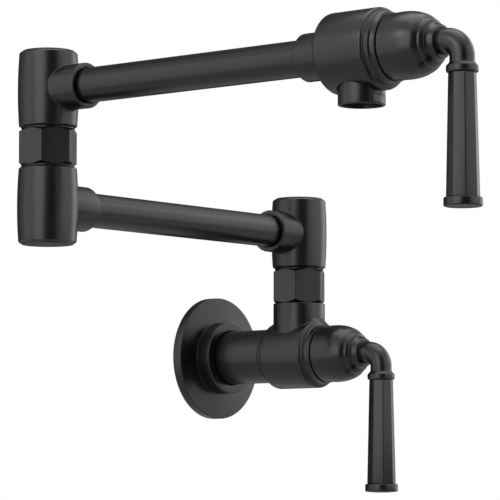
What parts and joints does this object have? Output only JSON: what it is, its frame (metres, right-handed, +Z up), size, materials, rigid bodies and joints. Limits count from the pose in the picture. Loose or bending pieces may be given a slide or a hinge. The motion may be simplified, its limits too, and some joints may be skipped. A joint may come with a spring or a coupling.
{
  "type": "wall mounted pot filler",
  "caption": "Matte black wall mounted pot filler with two swivelling arms, round joint barrels, hexagonal swivel nuts, a wall valve and a spout valve with domed hubs and faceted levers.",
  "frame": {"origin": "on the wall plane, at the middle of the inlet's mouth, which is the centre of the flange's back face", "axes": "+Z up, +Y into the wall, so the room is towards -Y, and +X to the right when facing the wall"},
  "size_m": [0.2778, 0.3543, 0.2403],
  "materials": {
    "matte_black": "matte black coating on brass",
    "brass": "machined",
    "steel": "machined",
    "ceramic": "lapped ceramic",
    "rubber": "matte",
    "white_plastic": "moulded"
  },
  "bodies": {
    "wall_body": {"wall_flange": "matte_black", "flange_gasket": "rubber", "flange_oring": "rubber", "shank_sleeve": "matte_black", "inlet_shank": "brass", "inlet_screen": "steel", "wall_valve_body": "matte_black", "wall_seat_seal": "rubber", "wall_fixed_disc": "ceramic", "wall_cartridge_housing": "brass", "wall_retaining_nut": "brass", "base_swivel_nut": "matte_black", "base_glide_washer": "white_plastic"},
    "lower_arm": {"base_barrel": "matte_black", "base_barrel_cap": "matte_black", "base_spindle": "brass", "base_spindle_orings": "rubber", "lower_arm_tube": "matte_black", "elbow_lower_barrel": "matte_black", "elbow_lower_cap": "matte_black", "elbow_swivel_nut": "matte_black", "elbow_glide_washer": "white_plastic"},
    "upper_arm": {"elbow_upper_barrel": "matte_black", "elbow_upper_cap": "matte_black", "elbow_spindle": "brass", "elbow_spindle_orings": "rubber", "upper_arm_tube": "matte_black", "spout_valve_body": "matte_black", "spout_seat_seal": "rubber", "spout_fixed_disc": "ceramic", "spout_cartridge_housing": "brass", "spout_retaining_nut": "brass", "aerator_housing": "matte_black", "aerator_insert": "white_plastic", "aerator_washer": "rubber"},
    "wall_handle": {"wall_bell": "matte_black", "wall_stem": "brass", "wall_stem_oring": "rubber", "wall_moving_disc": "ceramic", "wall_bell_screw": "steel", "wall_lever_neck": "matte_black", "wall_lever_rod": "steel", "wall_lever_grip": "matte_black", "wall_lever_cap": "matte_black"},
    "spout_handle": {"spout_bell": "matte_black", "spout_stem": "brass", "spout_stem_oring": "rubber", "spout_moving_disc": "ceramic", "spout_bell_screw": "steel", "spout_lever_neck": "matte_black", "spout_lever_rod": "steel", "spout_lever_grip": "matte_black", "spout_lever_cap": "matte_black"}
  },
  "joints": [
    {"name": "base_swivel", "type": "hinge", "parent": "wall_body", "child": "lower_arm", "pos_m": [0, -0.0683, 0.0728], "axis": [0, 0, 1], "range_deg": [-10, 190]},
    {"name": "elbow_swivel", "type": "hinge", "parent": "lower_arm", "child": "upper_arm", "pos_m": [-0.22, -0.0683, 0.1043], "axis": [0, 0, 1], "continuous": true},
    {"name": "wall_valve_turn", "type": "hinge", "parent": "wall_body", "child": "wall_handle", "pos_m": [0, -0.0897, 0], "axis": [0, -1, 0], "range_deg": [0, 90]},
    {"name": "spout_valve_turn", "type": "hinge", "parent": "upper_arm", "child": "spout_handle", "pos_m": [-0.22, -0.3047, 0.13615], "axis": [0, -1, 0], "range_deg": [0, 90]}
  ]
}
